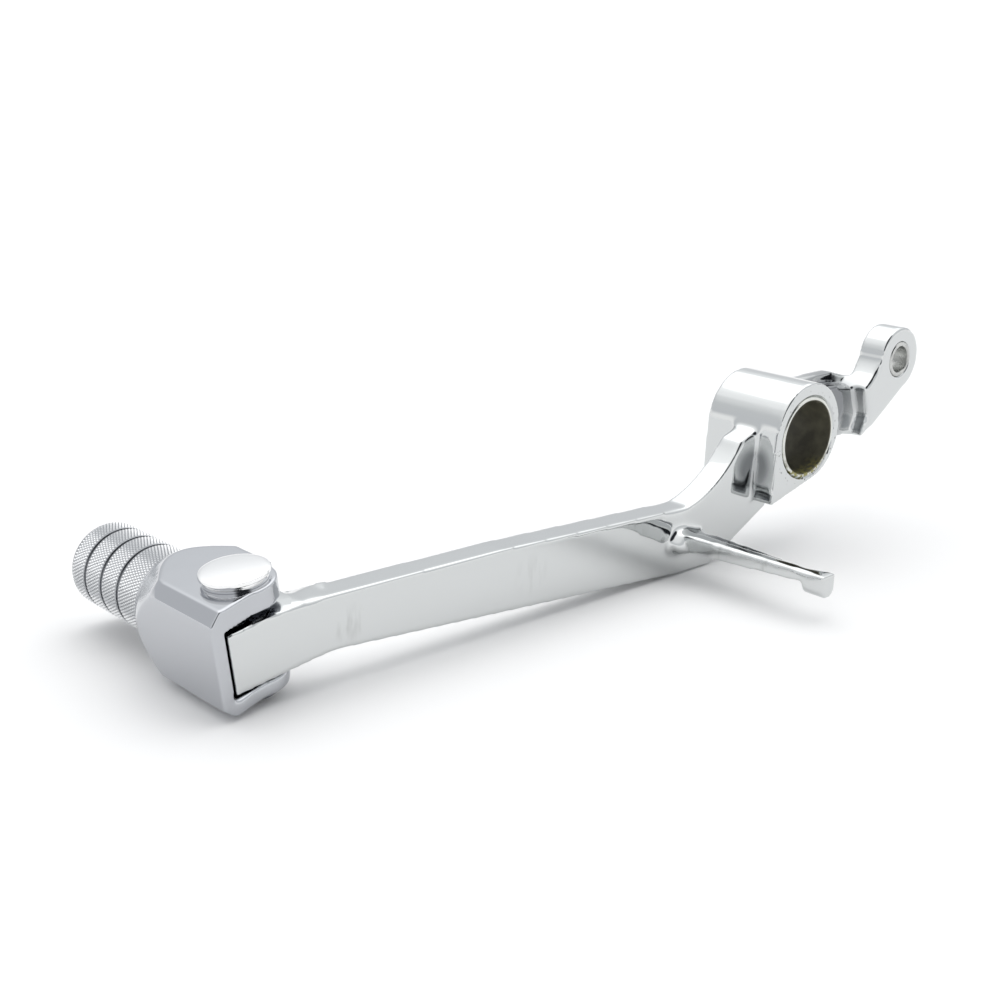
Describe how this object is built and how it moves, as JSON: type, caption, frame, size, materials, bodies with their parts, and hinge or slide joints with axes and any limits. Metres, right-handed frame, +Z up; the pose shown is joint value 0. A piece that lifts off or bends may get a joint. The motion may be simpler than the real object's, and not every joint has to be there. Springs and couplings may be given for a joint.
{
  "type": "motorcycle gear shift lever",
  "caption": "Chromed gear shift lever with a bushed pivot boss, a bushed link arm, a return-spring tang and a hinged toe block carrying a knurled, sprung folding peg.",
  "frame": {"origin": "on the axis of the pivot bore, at the boss's inboard face", "axes": "+X from the pivot towards the toe, +Y along the pivot bore towards the engine (inboard), +Z up as the lever lies on a bench with its peg's hinge head on top"},
  "size_m": [0.2391, 0.108, 0.0559],
  "materials": {
    "chrome_casting": "bright chrome plate on a polished casting",
    "chrome_block": "bright chrome plate on machined faces",
    "chrome_pin": "bright chrome plate, domed head",
    "chrome_knurl": "chrome plate over diamond knurling",
    "lined_bush": "steel-backed bush with a dark greased lining",
    "zinc_bush": "zinc-plated steel",
    "bronze_bush": "sintered bronze",
    "zinc_steel": "zinc-plated steel",
    "spring_steel": "oiled spring steel",
    "bolt_steel": "zinc-plated socket head screw"
  },
  "bodies": {
    "lever": {"lever_body": "chrome_casting", "pivot_bush": "lined_bush", "link_eye_bush": "zinc_bush", "knuckle_bush": "bronze_bush", "fold_spring": "spring_steel"},
    "toe": {"toe_block": "chrome_block", "hinge_pin": "chrome_pin", "shim_upper": "zinc_steel", "shim_lower": "zinc_steel", "hinge_washer": "zinc_steel", "hinge_clip": "spring_steel", "toe_peg": "chrome_knurl", "peg_lock_washer": "zinc_steel", "peg_bolt": "bolt_steel"}
  },
  "joints": [
    {"name": "toe_fold", "type": "hinge", "parent": "lever", "child": "toe", "pos_m": [0.169, -0.016, -0.018], "axis": [-0.1461, 0, -0.9893], "range_deg": [0, 55], "stiffness_Nm_per_rad": 0.25, "springref_deg": -51.57, "deforming": ["fold_spring"]}
  ]
}
